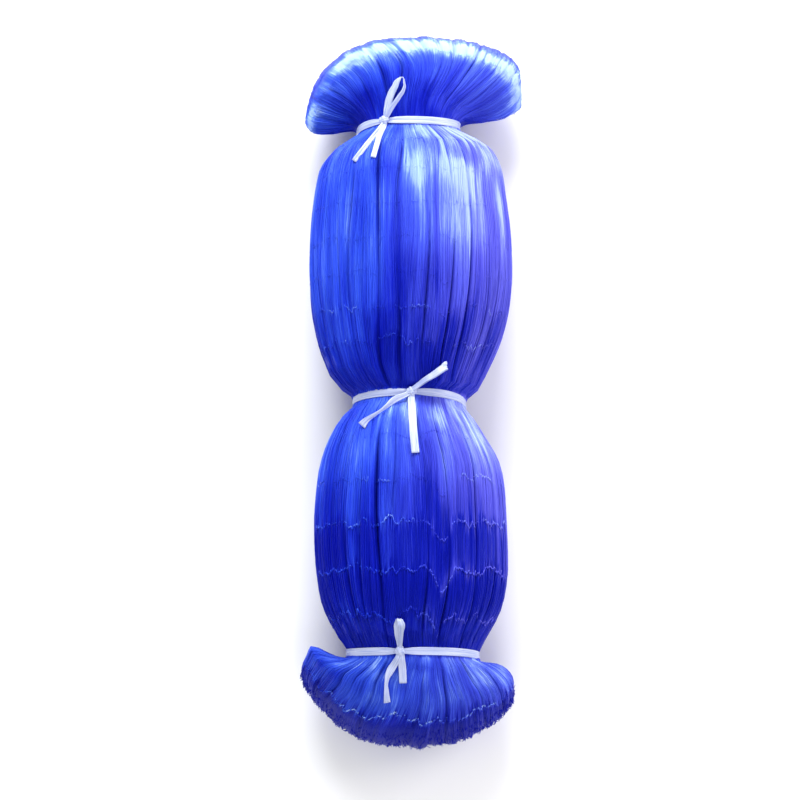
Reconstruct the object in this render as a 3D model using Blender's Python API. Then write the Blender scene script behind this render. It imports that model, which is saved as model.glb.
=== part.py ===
# A gill net of blue nylon monofilament, gathered along its length into a hank and bound at three waists with flat
# white tape. It lies on its back: +Z is up, +Y runs along the hank to its smooth end and +X across it.
# Every size below is in millimetres, measured from the middle of the hank's length and width, on the floor it lies on.
import math
import random
from collections import namedtuple

import bmesh
import bpy
import numpy as np
from mathutils import Vector
from mathutils.bvhtree import BVHTree

MM = 0.001

# The hank's skin
LOCKS = 40  # tresses of strands round the hank, each between two creases
POINTS_A_LOCK = 3
CREST = 1.3  # how far the middle of a tress stands proud
SWAY = 0.020  # how far a crease wanders to and fro round the hank on its way along it, in radians
SWAY_ROWS = 5.5  # rows to a whole sway
SWELL = 0.35  # the share of a crease's depth that comes and goes along it
SMOOTH_REACH = 1.2  # how unevenly the tresses reach to the ridge at each end
RAGGED_REACH = 2.6
SECTION_POWER = 0.90  # under 1 squares the section off a little
HEIGHT_POWER = 0.86
FLAT_BELOW = 2.4  # the underside is pressed flat on the floor under this height

# The ties
TAPE_WIDTH = 7.0
TAPE_THICKNESS = 1.0
TIE_GAP = 0.35  # between a tie and the netting
BAND_POINTS = 64
TAPE_STEP = 1.9  # spacing of the sections along a loose stretch of tape

# A row for each section across the strands, from the smooth end to the ragged one. left and right are its two
# edges, y its place at the middle and y_left and y_right at its edges, centre and half its height above the floor and
# half its thickness, sharp_left and sharp_right how fast it falls away to its edges, relief the share of the creases'
# depth that shows there, and rings the rings of points up to the next row.
Section = namedtuple(
    "Section", "name left right y y_left y_right centre half sharp_left sharp_right relief rings"
)
SECTIONS = (
    Section("smooth_end_ridge", -99, 99, 339, 267, 284, 46, 0, 0.95, 0.44, 0.60, 2),
    Section("smooth_end_roll", -101, 100, 327, 253, 270, 46, 34, 1.05, 0.47, 0.75, 2),
    Section("smooth_end_face", -93, 92, 308, 246, 263, 47, 47, 1.10, 0.55, 0.80, 2),
    Section("smooth_end_flare", -79, 73, 288, 245, 257, 51, 47, 1.10, 0.80, 0.75, 1),
    Section("smooth_end_neck", -64, 52, 268, 246, 254, 56, 41, 1.00, 1.00, 0.45, 1),
    Section("first_seat_start", -55, 43, 250, 245, 252, 60, 36, 1.00, 1.00, 0.12, 1),
    Section("first_seat_end", -55, 43, 240, 235, 242, 60, 36, 1.00, 1.00, 0.12, 1),
    Section("first_lobe_shoulder", -76, 68, 225, 220, 227, 60, 48, 1.00, 1.00, 0.60, 1),
    Section("first_lobe_swell", -87, 79, 206, 204, 208, 60, 56, 1.00, 1.00, 0.85, 1),
    Section("first_lobe_upper", -92, 83, 179, 179, 179, 60, 62, 1.00, 1.00, 1.00, 3),
    Section("first_lobe_full", -96, 88, 133, 133, 133, 60, 65, 1.00, 1.00, 1.00, 3),
    Section("first_lobe_lower", -95, 87, 87, 87, 87, 60, 65, 1.00, 1.00, 1.00, 2),
    Section("first_lobe_taper", -89, 79, 50, 50, 50, 60, 61, 1.00, 1.00, 1.00, 2),
    Section("first_lobe_heel", -80, 66, 20, 20, 20, 60, 53, 1.00, 1.00, 0.80, 1),
    Section("first_lobe_throat", -67, 57, 2, 2, 1, 60, 46, 1.00, 1.00, 0.50, 1),
    Section("second_seat_start", -57, 46, -4, -7, -10, 60, 40, 1.00, 1.00, 0.12, 1),
    Section("second_seat_end", -57, 46, -14, -17, -20, 60, 40, 1.00, 1.00, 0.12, 1),
    Section("second_lobe_shoulder", -68, 54, -28, -29, -31, 60, 47, 1.00, 1.00, 0.55, 1),
    Section("second_lobe_swell", -78, 65, -48, -48, -49, 60, 55, 1.00, 1.00, 0.85, 1),
    Section("second_lobe_upper", -86, 77, -77, -77, -77, 60, 61, 1.00, 1.00, 1.00, 3),
    Section("second_lobe_full", -90, 81, -121, -121, -121, 60, 64, 1.00, 1.00, 1.00, 3),
    Section("second_lobe_lower", -88, 82, -165, -165, -165, 60, 64, 1.00, 1.00, 1.00, 2),
    Section("second_lobe_taper", -82, 77, -196, -196, -196, 60, 60, 1.00, 1.00, 1.00, 1),
    Section("second_lobe_heel", -71, 65, -220, -220, -220, 60, 52, 1.00, 1.00, 0.75, 1),
    Section("third_seat_start", -62, 57, -234, -233, -236, 59, 43, 1.00, 1.00, 0.12, 1),
    Section("third_seat_end", -62, 57, -244, -243, -246, 59, 43, 1.00, 1.00, 0.12, 1),
    Section("ragged_end_neck", -74, 66, -254, -240, -247, 54, 45, 1.00, 1.00, 0.45, 1),
    Section("ragged_end_flare", -92, 78, -269, -232, -250, 48, 47, 1.30, 1.05, 0.70, 2),
    Section("ragged_end_face", -96, 86, -286, -238, -257, 44, 44, 1.60, 1.10, 0.80, 2),
    Section("ragged_end_roll", -101, 88, -307, -251, -265, 40, 30, 1.65, 1.05, 0.85, 2),
    Section("ragged_end_ridge", -99, 87, -320, -263, -272, 38, 0, 1.70, 1.05, 0.80, 0),
)

# The creases that show on the face, right to left: across is where a crease lies between the right edge, 1, and the
# left edge, -1, on each lobe, and deep how far it cuts in. The creases of the underside are spaced evenly, with depths
# drawn from UNDERSIDE_DEPTHS.
Crease = namedtuple("Crease", "across_first across_second deep_first deep_second")
FACE_CREASES = (
    Crease(1.00, 1.00, 1.6, 1.6),
    Crease(0.97, 0.97, 1.6, 1.6),
    Crease(0.92, 0.92, 1.8, 1.8),
    Crease(0.84, 0.84, 2.0, 2.8),
    Crease(0.745, 0.74, 2.4, 2.0),
    Crease(0.645, 0.64, 1.8, 4.8),
    Crease(0.55, 0.55, 4.2, 1.8),
    Crease(0.46, 0.44, 2.0, 2.0),
    Crease(0.375, 0.33, 3.8, 4.0),
    Crease(0.26, 0.23, 2.2, 1.8),
    Crease(0.14, 0.12, 3.2, 3.2),
    Crease(0.03, 0.00, 1.6, 1.6),
    Crease(-0.095, -0.15, 3.6, 2.4),
    Crease(-0.30, -0.32, 4.6, 5.0),
    Crease(-0.44, -0.41, 1.8, 2.0),
    Crease(-0.575, -0.50, 2.8, 2.6),
    Crease(-0.69, -0.65, 2.0, 3.0),
    Crease(-0.80, -0.81, 2.2, 2.6),
    Crease(-0.91, -0.91, 1.8, 1.8),
    Crease(-0.97, -0.97, 1.6, 1.6),
)
UNDERSIDE_DEPTHS = (1.6, 3.0)
WARP_ROWS = 3.0  # rows from each end over which the creases come to an even spacing on the ridge

# A row for each turn of a loose stretch of tape: its place from the knot, its height over the netting, how far it is
# rolled about its own line (0 lies flat) and its width there.
Turn = namedtuple("Turn", "x y lift roll width")
Tie = namedtuple("Tie", "name seat knot_x stretches")
TIES = (
    Tie(
        "first_tie",
        "first_seat_start",
        -27.5,
        {
            "bow": (
                Turn(0, 0, 1.8, 0, 3.6),
                Turn(1, 6, 2.2, 8, 5.0),
                Turn(2.5, 13, 1.4, 12, 6.5),
                Turn(4.6, 21, 1.4, 16, 6.8),
                Turn(9, 30, 1.4, 30, 6.6),
                Turn(12.5, 36, 1.8, 50, 5.8),
                Turn(15.5, 38, 2.4, 80, 5.0),
                Turn(17.5, 33, 2.4, 75, 4.4),
                Turn(17, 27, 2.4, 65, 4.4),
                Turn(13.5, 21, 2.4, 55, 4.6),
                Turn(8, 13, 3.2, 45, 4.5),
                Turn(1, 1, 3.6, 10, 3.2),
            ),
            "long_tail": (
                Turn(1, 1, 2.8, 0, 3.4),
                Turn(-2, -5, 2.8, 0, 4.6),
                Turn(-7, -13, 0.8, 0, 5.0),
                Turn(-16, -26, 0.4, 0, 4.6),
                Turn(-28, -43, 0.8, 0, 4.6),
            ),
            "short_tail": (
                Turn(0, 1, 2.4, 0, 4.0),
                Turn(-1, -5, 2.2, 0, 5.0),
                Turn(-3.5, -12, 1.0, 0, 5.2),
                Turn(-7, -26, 0.6, 0, 4.8),
                Turn(-10.6, -41, 1.0, 0, 4.8),
            ),
        },
    ),
    Tie(
        "second_tie",
        "second_seat_start",
        -3.7,
        {
            "bow": (
                Turn(-1, 0, 1.8, 0, 4.0),
                Turn(4, 3.5, 2.2, 20, 5.0),
                Turn(9, 7, 1.6, 30, 6.0),
                Turn(20, 13.5, 1.2, 35, 7.5),
                Turn(29, 19.5, 1.4, 35, 8.0),
                Turn(31, 20.6, 2.6, 35, 8.0),
                Turn(31.6, 21, 4.0, 35, 8.0),
                Turn(31, 20.6, 5.4, 35, 8.0),
                Turn(28, 18.5, 6.6, 35, 8.0),
                Turn(19, 12.5, 6.0, 35, 7.5),
                Turn(8, 6, 5.0, 30, 5.5),
                Turn(0, 0, 3.4, 5, 3.2),
            ),
            "long_tail": (
                Turn(2, 1, 3.0, 0, 4.0),
                Turn(-5, -3.5, 3.0, 10, 4.5),
                Turn(-15.4, -8.5, 2.2, 20, 5.6),
                Turn(-22.4, -14.8, 1.2, 45, 4.0),
                Turn(-32.7, -22.4, 1.2, 45, 3.6),
                Turn(-39, -26.5, 1.2, 30, 5.0),
                Turn(-44.2, -32.2, 1.4, 10, 8.0),
            ),
            "short_tail": (
                Turn(0, 2, 2.4, 0, 4.5),
                Turn(0, -6, 2.2, 0, 6.0),
                Turn(0.5, -16, 0.6, 0, 7.0),
                Turn(1.2, -31, 0.5, 0, 7.0),
                Turn(2.3, -46, 0.5, 0, 7.0),
                Turn(3.5, -58.5, 0.8, 0, 7.0),
            ),
        },
    ),
    Tie(
        "third_tie",
        "third_seat_start",
        -13.5,
        {
            "bow": (
                Turn(-1, -1, 1.8, 0, 3.6),
                Turn(-1, 4, 2.2, 10, 3.8),
                Turn(-1.6, 9, 1.6, 20, 4.6),
                Turn(-2.6, 17, 1.2, 25, 5.8),
                Turn(-2.2, 24, 1.2, 12, 5.4),
                Turn(-2.2, 26, 2.4, 4, 3.6),
                Turn(-2, 26.6, 4.0, 0, 2.2),
                Turn(-1.2, 26, 5.6, 4, 3.8),
                Turn(0, 23.5, 6.8, 10, 6.0),
                Turn(0.6, 16, 6.0, 40, 4.8),
                Turn(0.4, 9, 4.8, 30, 3.6),
                Turn(0, 1, 3.4, 0, 3.2),
            ),
            "long_tail": (
                Turn(0, 1, 3.0, 0, 4.0),
                Turn(-2, -5.5, 2.6, 0, 5.0),
                Turn(-5, -11, 1.2, 0, 6.0),
                Turn(-10, -19.5, 0.8, 15, 6.0),
                Turn(-12, -26, 0.6, 35, 3.8),
                Turn(-12.2, -34, 0.6, 30, 4.6),
                Turn(-11.6, -44.4, 0.8, 10, 6.1),
            ),
            "short_tail": (
                Turn(1, 1, 2.4, 0, 4.5),
                Turn(0.8, -6, 2.2, 0, 6.0),
                Turn(1.4, -12, 1.0, 0, 6.6),
                Turn(2, -20, 0.6, 0, 6.6),
                Turn(2.3, -27.8, 0.8, 0, 6.6),
            ),
        },
    ),
)
KNOT_RADII = (5.4, 5.0, 3.2)  # across the hank, along it and up
KNOT_LIFT = 4.0

NET_COLOUR = (0.010, 0.035, 0.720, 1.0)
TAPE_COLOUR = (0.800, 0.820, 0.900, 1.0)


def mirrored_rows():
    """The rows as numbers, with one more past each ridge: the strands turn over there and come back underneath."""
    rows = np.array([row[1:-1] for row in SECTIONS], float)
    half = Section._fields.index("half") - 1
    before, after = rows[1].copy(), rows[-2].copy()
    before[half], after[half] = -before[half], -after[half]
    return np.vstack([before, rows, after])


ROWS = mirrored_rows()


def section_at(place):
    """The section at a place along the strands, counted in rows from the smooth end, on a smooth curve through the rows."""
    first = np.clip(np.floor(place).astype(int), 0, len(SECTIONS) - 2)
    t = (place - first)[:, None]
    a, b, c, d = (ROWS[first + k] for k in range(4))
    return b + 0.5 * t * (c - a + t * (2 * a - 5 * b + 4 * c - d + t * (3 * (b - c) + d - a)))


def crease_table():
    """The angle and the depth of each crease on the two lobes, and where its sway starts, right round the hank."""
    chance = random.Random(7)
    face = len(FACE_CREASES)
    angles = np.zeros((2, LOCKS + 1))
    depths = np.zeros((2, LOCKS + 1))
    starts = np.array([chance.uniform(0, 2 * math.pi) for _ in range(LOCKS + 1)])
    reaches = np.array([chance.uniform(-1, 1) for _ in range(LOCKS + 1)])
    for i, crease in enumerate(FACE_CREASES):
        angles[:, i] = math.acos(crease.across_first), math.acos(crease.across_second)
        depths[:, i] = crease.deep_first, crease.deep_second
    for i in range(face, LOCKS):
        angles[:, i] = 2 * math.pi * (i + chance.uniform(-0.22, 0.22)) / LOCKS
        depths[:, i] = [chance.uniform(*UNDERSIDE_DEPTHS) for _ in range(2)]
    angles[:, face] = math.pi
    for table in (angles, depths, starts, reaches):
        table[..., LOCKS] = table[..., 0]
    angles[:, LOCKS] = 2 * math.pi
    return angles, depths, starts, reaches


ANGLES, DEPTHS, SWAY_STARTS, REACHES = crease_table()
LOBE_BREAK = [row.name for row in SECTIONS].index("second_seat_start")


def eased(t):
    t = np.clip(t, 0, 1)
    return t * t * (3 - 2 * t)


def along_lobes(place):
    """0 on the first lobe and 1 on the second, changing smoothly under the tie between them."""
    return eased((place - LOBE_BREAK + 3) / 7)


def evenness(place):
    """0 along the body, and 1 on the ridge of each end."""
    return eased(1 - np.minimum(place, len(SECTIONS) - 1 - place) / WARP_ROWS)


def by_lock(row, lock):
    """A value of one row of the crease table at a lock number, which may be a fraction."""
    return np.interp(lock, np.arange(LOCKS + 1), row)


def by_lobe(table, lock, place):
    """A value of the crease table at a lock number, blended between the lobes."""
    first, second = (by_lock(row, lock) for row in table)
    return first + (second - first) * along_lobes(place)


def sway(lock, place):
    """How far round the hank a point is carried by the creases on either side of it, as they wander."""
    before = np.floor(lock).astype(int)
    within = lock - before
    turns = 2 * np.pi * place / SWAY_ROWS
    left, right = (
        np.sin(turns + SWAY_STARTS[np.minimum(before + k, LOCKS)]) for k in range(2)
    )
    return SWAY * (left + (right - left) * within) * (1 - evenness(place))


def skin(lock, place):
    """Points on the hank's smooth skin: lock counts tresses round it from the right edge over the face."""
    angle = by_lobe(ANGLES, lock, place) + sway(lock, place)
    angle = angle + (2 * np.pi * lock / LOCKS - angle) * evenness(place)
    left, right, y, y_left, y_right, centre, half, sharp_left, sharp_right, _ = section_at(place).T
    across, up = np.cos(angle), np.sin(angle)
    side = (1 + across) / 2
    y_edge = y_left + (y_right - y_left) * side
    sharp = sharp_left + (sharp_right - sharp_left) * side
    x = (left + right) / 2 + (right - left) / 2 * np.sign(across) * np.abs(across) ** SECTION_POWER
    y = y_edge + (y - y_edge) * np.abs(up) ** sharp
    z = centre + half * np.sign(up) * np.abs(up) ** HEIGHT_POWER
    return np.stack([x, y, z], axis=1)


def relief(lock, place):
    """How far the skin stands in or out: creases between the tresses, a crest along each, and its reach at the ends."""
    share = section_at(place)[:, Section._fields.index("relief") - 1]
    on_crease = np.isclose(lock, np.round(lock))
    nearest = np.round(lock)
    wave = np.sin(2 * np.pi * place / SWAY_ROWS + 2 * by_lock(SWAY_STARTS, nearest))
    depth = by_lobe(DEPTHS, nearest, place) * (1 + SWELL * wave)
    crest = CREST * np.sin(np.pi * (lock % 1.0))
    end = np.where(place < LOBE_BREAK, SMOOTH_REACH, RAGGED_REACH)
    reach = end * REACHES[np.floor(lock).astype(int)] * evenness(place)
    return share * np.where(on_crease, -depth, crest) + np.where(on_crease, 0.0, reach)


def envelope_relief(lock, place):
    """The relief of the skin that a tape lies on: the crests all over, since tape bridges the creases."""
    return np.full(len(lock), CREST)


def ring_places():
    """The place of each ring of points along the strands, in rows."""
    places = [row + k / section.rings for row, section in enumerate(SECTIONS) for k in range(section.rings)]
    return places + [len(SECTIONS) - 1]


def hank_mesh(relief_of):
    """The hank as one closed skin: a grid wrapped round it, zipped along its side and along the ridge of each end."""
    places = ring_places()
    columns, rows = LOCKS * POINTS_A_LOCK, len(places) - 1
    bm = bmesh.new()
    bmesh.ops.create_grid(bm, x_segments=columns, y_segments=rows, size=0.5)
    grid = np.array([v.co for v in bm.verts]) + 0.5
    lock = np.round(grid[:, 0] * columns) / POINTS_A_LOCK
    place = np.array(places)[np.round(grid[:, 1] * rows).astype(int)]
    for v, co in zip(bm.verts, skin(lock, place) * MM):
        v.co = co
    layer = bm.verts.layers.float.new("relief")
    for v, amount in zip(bm.verts, relief_of(lock, place) * MM):
        v[layer] = amount
    bmesh.ops.remove_doubles(bm, verts=bm.verts, dist=0.00002)
    bmesh.ops.recalc_face_normals(bm, faces=bm.faces)
    for v, move in [(v, v.normal * v[layer]) for v in bm.verts]:
        v.co += move
        if v.co.z < FLAT_BELOW * MM:
            v.co.z = 0
    bm.verts.layers.float.remove(layer)
    return bm


def band_mesh(seat):
    """The stretch of a tie that goes round the waist, on its straight seat."""
    angle_locks = np.arange(BAND_POINTS) * LOCKS / BAND_POINTS
    start, end = (skin(angle_locks, np.full(BAND_POINTS, float(seat + k))) for k in range(2))
    middle = (start + end) / 2
    ahead, behind = np.roll(middle, -1, axis=0), np.roll(middle, 1, axis=0)
    outward = np.cross(ahead - behind, (0.0, 1.0, 0.0))
    outward /= np.linalg.norm(outward, axis=1)[:, None]
    outward *= np.sign((outward * (middle - middle.mean(axis=0))).sum(axis=1))[:, None]
    inner = middle + outward * (TIE_GAP + CREST * SECTIONS[seat].relief + 0.15)
    bm = bmesh.new()
    ring = bmesh.ops.create_circle(bm, segments=BAND_POINTS, radius=1.0)["verts"]
    for v, co in zip(ring, inner):
        v.co = Vector(co - (0, TAPE_WIDTH / 2, 0)) * MM
    edges = list(bm.edges)
    walls = bmesh.ops.extrude_edge_only(bm, edges=edges)["geom"]
    for v in (g for g in walls if isinstance(g, bmesh.types.BMVert)):
        v.co.y += TAPE_WIDTH * MM
    bmesh.ops.recalc_face_normals(bm, faces=bm.faces)
    return bm, middle, outward


def curve_through(turns):
    """The turns of a stretch of tape on a smooth curve, at even steps."""
    points = np.array(turns, float)
    gone = np.concatenate([[0], np.cumsum(np.linalg.norm(np.diff(points[:, :3], axis=0), axis=1))])
    slopes = np.gradient(points, gone, axis=0)
    steps = np.linspace(0, gone[-1], round(gone[-1] / TAPE_STEP) + 1)
    i = np.clip(np.searchsorted(gone, steps) - 1, 0, len(points) - 2)
    span = (gone[i + 1] - gone[i])[:, None]
    t = (steps - gone[i])[:, None] / span
    start = points[i] + t * span * slopes[i]
    end = points[i + 1] - (1 - t) * span * slopes[i + 1]
    return start + (end - start) * eased(t)


def over_netting(envelope, x, y):
    """The height and the normal of the netting under a point, seen from above."""
    hit, normal, _, _ = envelope.ray_cast(Vector((x * MM, y * MM, 0.5)), Vector((0, 0, -1)))
    return hit.z / MM, normal


def tape_frames(line, centres, normals):
    """The tape's width and thickness directions at each section, carried on from the one before so it never flips."""
    frames = []
    before = None
    for i, (_, _, _, roll, width) in enumerate(line):
        along = (centres[min(i + 1, len(line) - 1)] - centres[max(i - 1, 0)]).normalized()
        normal = sum(normals[max(i - 2, 0) : i + 3], Vector()).normalized()
        flat = along.cross(normal)
        steady = flat.length**6
        flat.normalize()
        if before and flat.dot(before) < 0:
            flat.negate()
        rise = (normal - along * along.dot(normal)).normalized()
        turn = math.radians(roll)
        wide = flat * math.cos(turn) + rise * math.sin(turn)
        if before:
            kept = (before - along * before.dot(along)).normalized()
            wide = (kept * (1 - steady) + wide * steady).normalized()
        frames.append((wide, wide.cross(along), normal * abs(math.sin(turn)) * width / 2))
        before = wide
    return frames


def tape_mesh(turns, knot, envelope):
    """A loose stretch of tape, laid over the netting: a flat section carried along its line."""
    line = curve_through(turns)
    line[:, :2] += knot.x, knot.y
    heights, normals = zip(*(over_netting(envelope, x, y) for x, y in line[:, :2]))
    centres = [
        Vector((x, y, z + TIE_GAP + TAPE_THICKNESS / 2 + lift))
        for (x, y, lift, _, _), z in zip(line, heights)
    ]
    frames = tape_frames(line, centres, normals)
    bm = bmesh.new()
    bmesh.ops.create_cube(bm, size=1.0)
    lengthwise = [edge for edge in bm.edges if edge.verts[0].co.y != edge.verts[1].co.y]
    bmesh.ops.subdivide_edges(bm, edges=lengthwise, cuts=len(line) - 2, use_grid_fill=True)
    for v in bm.verts:
        i = round((v.co.y + 0.5) * (len(line) - 1))
        wide, thick, raised = frames[i]
        v.co = (centres[i] + raised + wide * v.co.x * line[i][4] + thick * v.co.z * TAPE_THICKNESS) * MM
    bmesh.ops.recalc_face_normals(bm, faces=bm.faces)
    return bm


def knot_place(tie, middle, outward):
    """Where a tie's knot sits: the point of its seat under the knot, and the way up from there."""
    face = [i for i in range(len(middle)) if outward[i][2] > 0]
    face.sort(key=lambda i: middle[i][0])
    across = [middle[i][0] for i in face]
    point = Vector([np.interp(tie.knot_x, across, [middle[i][axis] for i in face]) for axis in range(3)])
    up = Vector([np.interp(tie.knot_x, across, [outward[i][axis] for i in face]) for axis in range(3)])
    return point, up.normalized()


def knot_mesh(point, up):
    """The knot: a small flattened lump on the band, where the loose stretches leave it."""
    turn = Vector((0, 0, 1)).rotation_difference(up)
    bm = bmesh.new()
    bmesh.ops.create_icosphere(bm, subdivisions=2, radius=1.0)
    for v in bm.verts:
        lump = Vector([c * r for c, r in zip(v.co, KNOT_RADII)])
        v.co = (point + up * KNOT_LIFT + turn @ lump) * MM
    return bm


def material(name, colour, roughness):
    made = bpy.data.materials.new(name)
    made.use_nodes = True
    shader = made.node_tree.nodes["Principled BSDF"]
    shader.inputs["Base Color"].default_value = colour
    shader.inputs["Roughness"].default_value = roughness
    shader.inputs["Metallic"].default_value = 0.0
    return made


def add_object(name, bm, finish, parent, origin=(0, 0, 0)):
    """A named object from a bmesh, with its origin moved to its own place."""
    for v in bm.verts:
        v.co -= Vector(origin)
    mesh = bpy.data.meshes.new(name)
    bm.to_mesh(mesh)
    bm.free()
    mesh.shade_smooth()
    mesh.set_sharp_from_angle(angle=math.radians(50))
    mesh.materials.append(finish)
    made = bpy.data.objects.new(name, mesh)
    bpy.context.collection.objects.link(made)
    made.location = origin
    made.parent = parent
    return made


def add_tie(tie, envelope, finish, parent):
    """One length of tape: round the waist, through its knot, out into a bow and two free ends, all one body."""
    seat = [row.name for row in SECTIONS].index(tie.seat)
    band, middle, outward = band_mesh(seat)
    origin = Vector(middle.mean(axis=0)) * MM
    made = add_object(tie.name, band, finish, parent, origin)
    thicken = made.modifiers.new("tape", "SOLIDIFY")
    thicken.thickness = TAPE_THICKNESS * MM
    thicken.offset = 1.0
    knot, up = knot_place(tie, middle, outward)
    pieces = {"knot": knot_mesh(knot, up)}
    pieces.update({name: tape_mesh(turns, knot, envelope) for name, turns in tie.stretches.items()})
    for name, bm in pieces.items():
        joined = add_object(f"{tie.name}_{name}", bm, finish, parent, origin)
        joined.hide_render = True
        joined.display_type = "WIRE"
        union = made.modifiers.new(name, "BOOLEAN")
        union.operation = "UNION"
        union.solver = "EXACT"
        union.object = joined
    return made


def main():
    for old in list(bpy.data.objects):
        bpy.data.objects.remove(old)
    hank = hank_mesh(relief)
    middle_x, middle_y = (
        (max(v.co[axis] for v in hank.verts) + min(v.co[axis] for v in hank.verts)) / 2 for axis in range(2)
    )
    place = bpy.data.objects.new("gill_net", None)
    bpy.context.collection.objects.link(place)
    place.location = (-middle_x, -middle_y, 0)
    smooth = hank_mesh(envelope_relief)
    envelope = BVHTree.FromBMesh(smooth)
    smooth.free()
    add_object("net_hank", hank, material("nylon_monofilament", NET_COLOUR, 0.35), place)
    tape = material("white_tape", TAPE_COLOUR, 0.40)
    for tie in TIES:
        add_tie(tie, envelope, tape, place)


main()
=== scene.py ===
import math
import random

import bmesh
import bpy
import numpy as np
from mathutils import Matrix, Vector
from mathutils.bvhtree import BVHTree


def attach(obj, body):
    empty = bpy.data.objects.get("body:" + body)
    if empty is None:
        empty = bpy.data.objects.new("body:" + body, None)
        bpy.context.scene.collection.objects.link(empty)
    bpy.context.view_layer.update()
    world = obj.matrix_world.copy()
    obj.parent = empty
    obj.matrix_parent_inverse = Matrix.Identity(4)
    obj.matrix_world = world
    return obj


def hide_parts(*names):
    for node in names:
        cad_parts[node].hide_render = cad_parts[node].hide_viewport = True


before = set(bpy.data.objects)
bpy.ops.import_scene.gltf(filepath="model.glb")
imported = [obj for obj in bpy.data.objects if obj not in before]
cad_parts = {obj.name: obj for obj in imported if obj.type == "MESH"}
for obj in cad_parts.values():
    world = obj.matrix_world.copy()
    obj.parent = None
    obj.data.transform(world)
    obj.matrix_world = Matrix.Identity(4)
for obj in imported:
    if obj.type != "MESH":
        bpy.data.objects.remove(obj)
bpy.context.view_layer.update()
mm = 0.001

# The hank's form, which every piece below lies on
hank = {
    "place": (1.4655, -8.7948, 0.0),  # from the hank's own middle to the frame's
    "locks": 40,  # tresses of strands round the hank, each between two creases
    "crest": 0.7,  # how far a tress stands proud
    "crestPower": 0.4,
    "sway": 0.020,  # how far a crease wanders to and fro, in radians
    "swayRows": 5.5,
    "swell": 0.35,  # the share of its depth that comes and goes
    "smoothReach": 0.8,  # how unevenly the tresses reach to the ridge at each end
    "raggedReach": 1.6,
    "reachPower": 0.5,
    "acrossPower": 0.90,  # under 1 squares the section off a little
    "upPower": 0.86,
    "grooveWidth": 0.10,  # of a tress, to either side of a crease
    "grooveSpread": 0.030,  # and this much wider for each millimetre of its depth
    "groovePower": 1.3,
    "shallow": 1.7,  # the depth of a shallow crease
    "shallowOver": 2.3,  # one this much deeper is pressed in by its whole depth
    "shallowShare": 0.08,  # how much of a shallow crease is left
    "leastShare": 0.1,  # of the creases, under a tie
    "smoothCalm": 0.75,  # how much of the creases is pulled out on the ridge of each end
    "raggedCalm": 0.80,
    "ridgeBlend": 0.7,  # places from a ridge over which the creases of its two sides meet
    "creaseShadeCalm": 0.7,  # how much less painted shade a crease has on a ridge
    "creaseShadeWidth": 0.6,
    "creaseShadeDepth": 3.0,  # a crease this much deeper than a shallow one has the darkest painted shade
    "seed": 7,
}

# left, right, y, y at the left and right edges, height of the middle, half the thickness, how fast it falls
# away to the left and right, and how much of the creases shows
sections = (
    (-99, 99, 339, 267, 284, 46, 0, 0.95, 0.44, 0.60),  # smooth end, its ridge
    (-101, 100, 327, 253, 270, 46, 34, 1.05, 0.47, 0.75),
    (-93, 92, 308, 246, 263, 47, 47, 1.10, 0.55, 0.80),
    (-79, 73, 288, 245, 257, 51, 47, 1.10, 0.80, 0.75),
    (-64, 52, 268, 246, 254, 56, 41, 1.00, 1.00, 0.45),
    (-55, 43, 250, 245, 252, 60, 36, 1.00, 1.00, 0.12),  # under the first tie
    (-55, 43, 240, 235, 242, 60, 36, 1.00, 1.00, 0.12),
    (-76, 68, 225, 220, 227, 60, 48, 1.00, 1.00, 0.60),
    (-87, 79, 206, 204, 208, 60, 56, 1.00, 1.00, 0.85),
    (-92, 83, 179, 179, 179, 60, 62, 1.00, 1.00, 1.00),
    (-96, 88, 133, 133, 133, 60, 65, 1.00, 1.00, 1.00),  # the first lobe at its fullest
    (-95, 87, 87, 87, 87, 60, 65, 1.00, 1.00, 1.00),
    (-89, 79, 50, 50, 50, 60, 61, 1.00, 1.00, 1.00),
    (-80, 66, 20, 20, 20, 60, 53, 1.00, 1.00, 0.80),
    (-67, 57, 2, 2, 1, 60, 46, 1.00, 1.00, 0.50),
    (-57, 46, -4, -7, -10, 60, 40, 1.00, 1.00, 0.12),  # under the second tie
    (-57, 46, -14, -17, -20, 60, 40, 1.00, 1.00, 0.12),
    (-68, 54, -28, -29, -31, 60, 47, 1.00, 1.00, 0.55),
    (-78, 65, -48, -48, -49, 60, 55, 1.00, 1.00, 0.85),
    (-86, 77, -77, -77, -77, 60, 61, 1.00, 1.00, 1.00),
    (-90, 81, -121, -121, -121, 60, 64, 1.00, 1.00, 1.00),  # the second lobe at its fullest
    (-88, 82, -165, -165, -165, 60, 64, 1.00, 1.00, 1.00),
    (-82, 77, -196, -196, -196, 60, 60, 1.00, 1.00, 1.00),
    (-71, 65, -220, -220, -220, 60, 52, 1.00, 1.00, 0.75),
    (-62, 57, -234, -233, -236, 59, 43, 1.00, 1.00, 0.12),  # under the third tie
    (-62, 57, -244, -243, -246, 59, 43, 1.00, 1.00, 0.12),
    (-74, 66, -254, -240, -247, 54, 45, 1.00, 1.00, 0.45),
    (-92, 78, -269, -232, -250, 48, 47, 1.30, 1.05, 0.70),
    (-96, 86, -286, -238, -257, 44, 44, 1.60, 1.10, 0.80),
    (-101, 88, -307, -251, -265, 40, 30, 1.65, 1.05, 0.85),
    (-99, 87, -320, -263, -272, 38, 0, 1.70, 1.05, 0.80),  # ragged end, its ridge
)
lastPlace = len(sections) - 1
lobeBreak = 15  # the place of the second tie, between the lobes
lobeBlend = (3, 7)  # how far before it one lobe's creases start to pass into the other's, and over how far

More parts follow.
